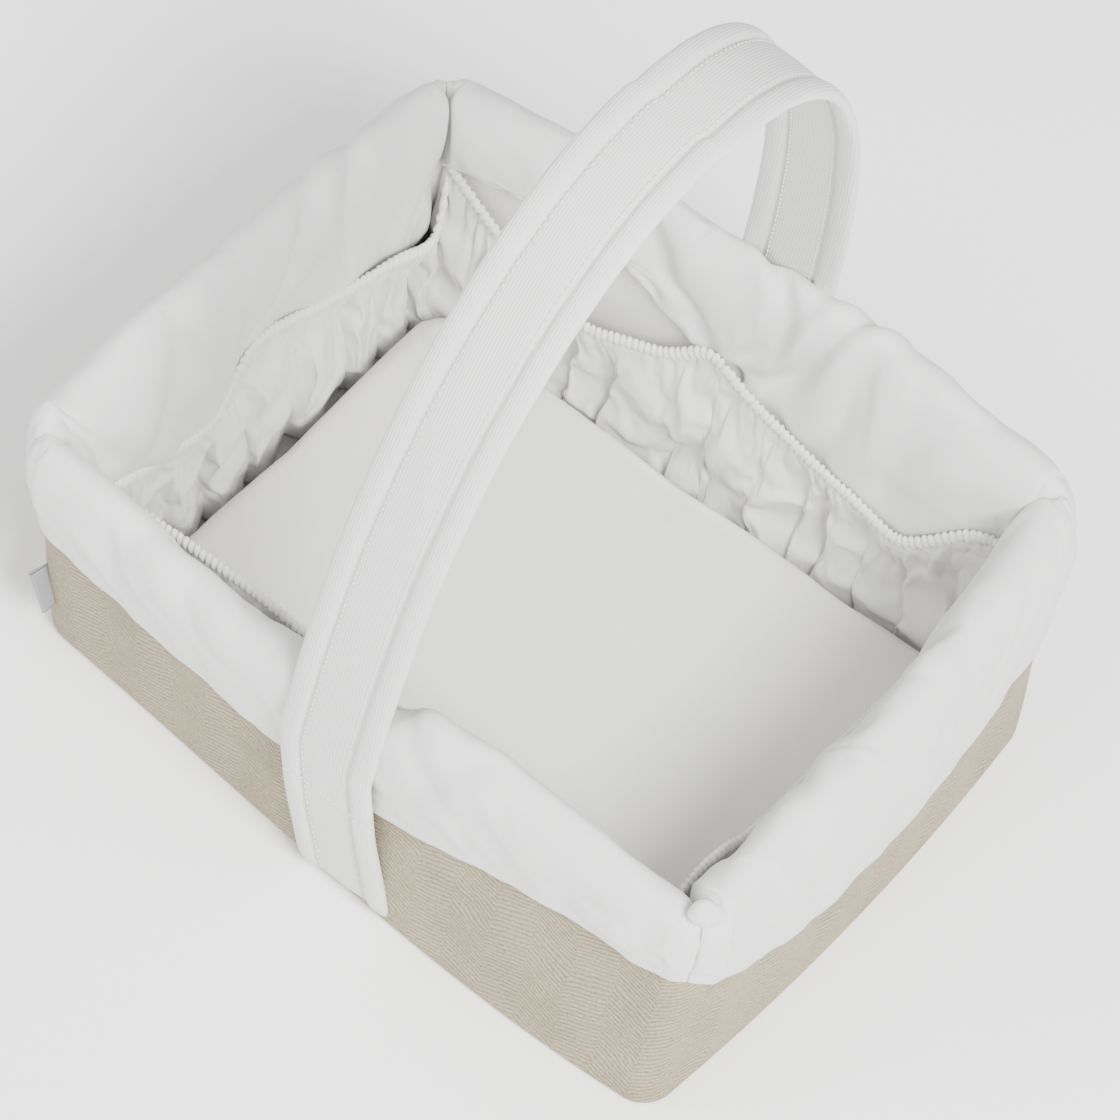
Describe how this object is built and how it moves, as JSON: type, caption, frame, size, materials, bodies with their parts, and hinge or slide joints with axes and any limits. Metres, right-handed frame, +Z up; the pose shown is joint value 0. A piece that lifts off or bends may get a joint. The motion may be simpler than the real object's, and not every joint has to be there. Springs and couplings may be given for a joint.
{
  "type": "layette basket",
  "caption": "Soft-walled rectangular nursery basket with a padded rolled rim, gathered inner pockets, a loose floor pad and a hooped webbing handle.",
  "frame": {"origin": "middle of the underside of the basket's base", "axes": "+X along the basket's long side, +Y along its short side, which the handle spans, +Z up"},
  "size_m": [0.3118, 0.2576, 0.3506],
  "materials": {
    "herringbone_linen": "matte beige herringbone weave",
    "board": "plain grey fibre board",
    "lining_cotton": "matte white cotton",
    "wadding": "soft polyester wadding",
    "cuff_cotton": "matte white padded cotton",
    "pocket_cotton": "thin gathered white cotton",
    "elastic": "gathered elastic hem",
    "pad_cotton": "fine off-white twill",
    "webbing": "ribbed cotton webbing",
    "strap_cotton": "white cotton with topstitching",
    "label_satin": "blank grey satin"
  },
  "bodies": {
    "basket": {"linen_side_band": "herringbone_linen", "linen_base_panel": "herringbone_linen", "base_board": "board", "lining_walls": "lining_cotton", "lining_floor": "lining_cotton", "wall_board_front": "board", "wall_board_back": "board", "wall_board_left": "board", "wall_board_right": "board", "rim_wadding_front": "wadding", "rim_wadding_back": "wadding", "rim_wadding_left": "wadding", "rim_wadding_right": "wadding", "cuff_front": "cuff_cotton", "cuff_back": "cuff_cotton", "cuff_left": "cuff_cotton", "cuff_right": "cuff_cotton", "pocket_left": "pocket_cotton", "pocket_right": "pocket_cotton", "pocket_front_left": "pocket_cotton", "pocket_front_right": "pocket_cotton", "pocket_back_left": "pocket_cotton", "pocket_back_right": "pocket_cotton", "elastic_hem_left": "elastic", "elastic_hem_right": "elastic", "elastic_hem_front_left": "elastic", "elastic_hem_front_right": "elastic", "elastic_hem_back_left": "elastic", "elastic_hem_back_right": "elastic", "handle_end_front": "strap_cotton", "handle_end_back": "strap_cotton", "label_tab": "label_satin"},
    "handle": {"handle_webbing": "webbing", "handle_outer_face": "strap_cotton", "handle_inner_face": "strap_cotton"},
    "floor_pad": {"floor_pad_board": "board", "floor_pad_cushion": "pad_cotton"}
  },
  "joints": [
    {"name": "handle_swing", "type": "hinge", "parent": "basket", "child": "handle", "pos_m": [0, 0, 0.0825], "axis": [0, 1, 0], "range_deg": [-50, 40]},
    {"name": "floor_pad_lift", "type": "slide", "parent": "basket", "child": "floor_pad", "axis": [0, 0, 1], "range_m": [0, 0.13]}
  ]
}
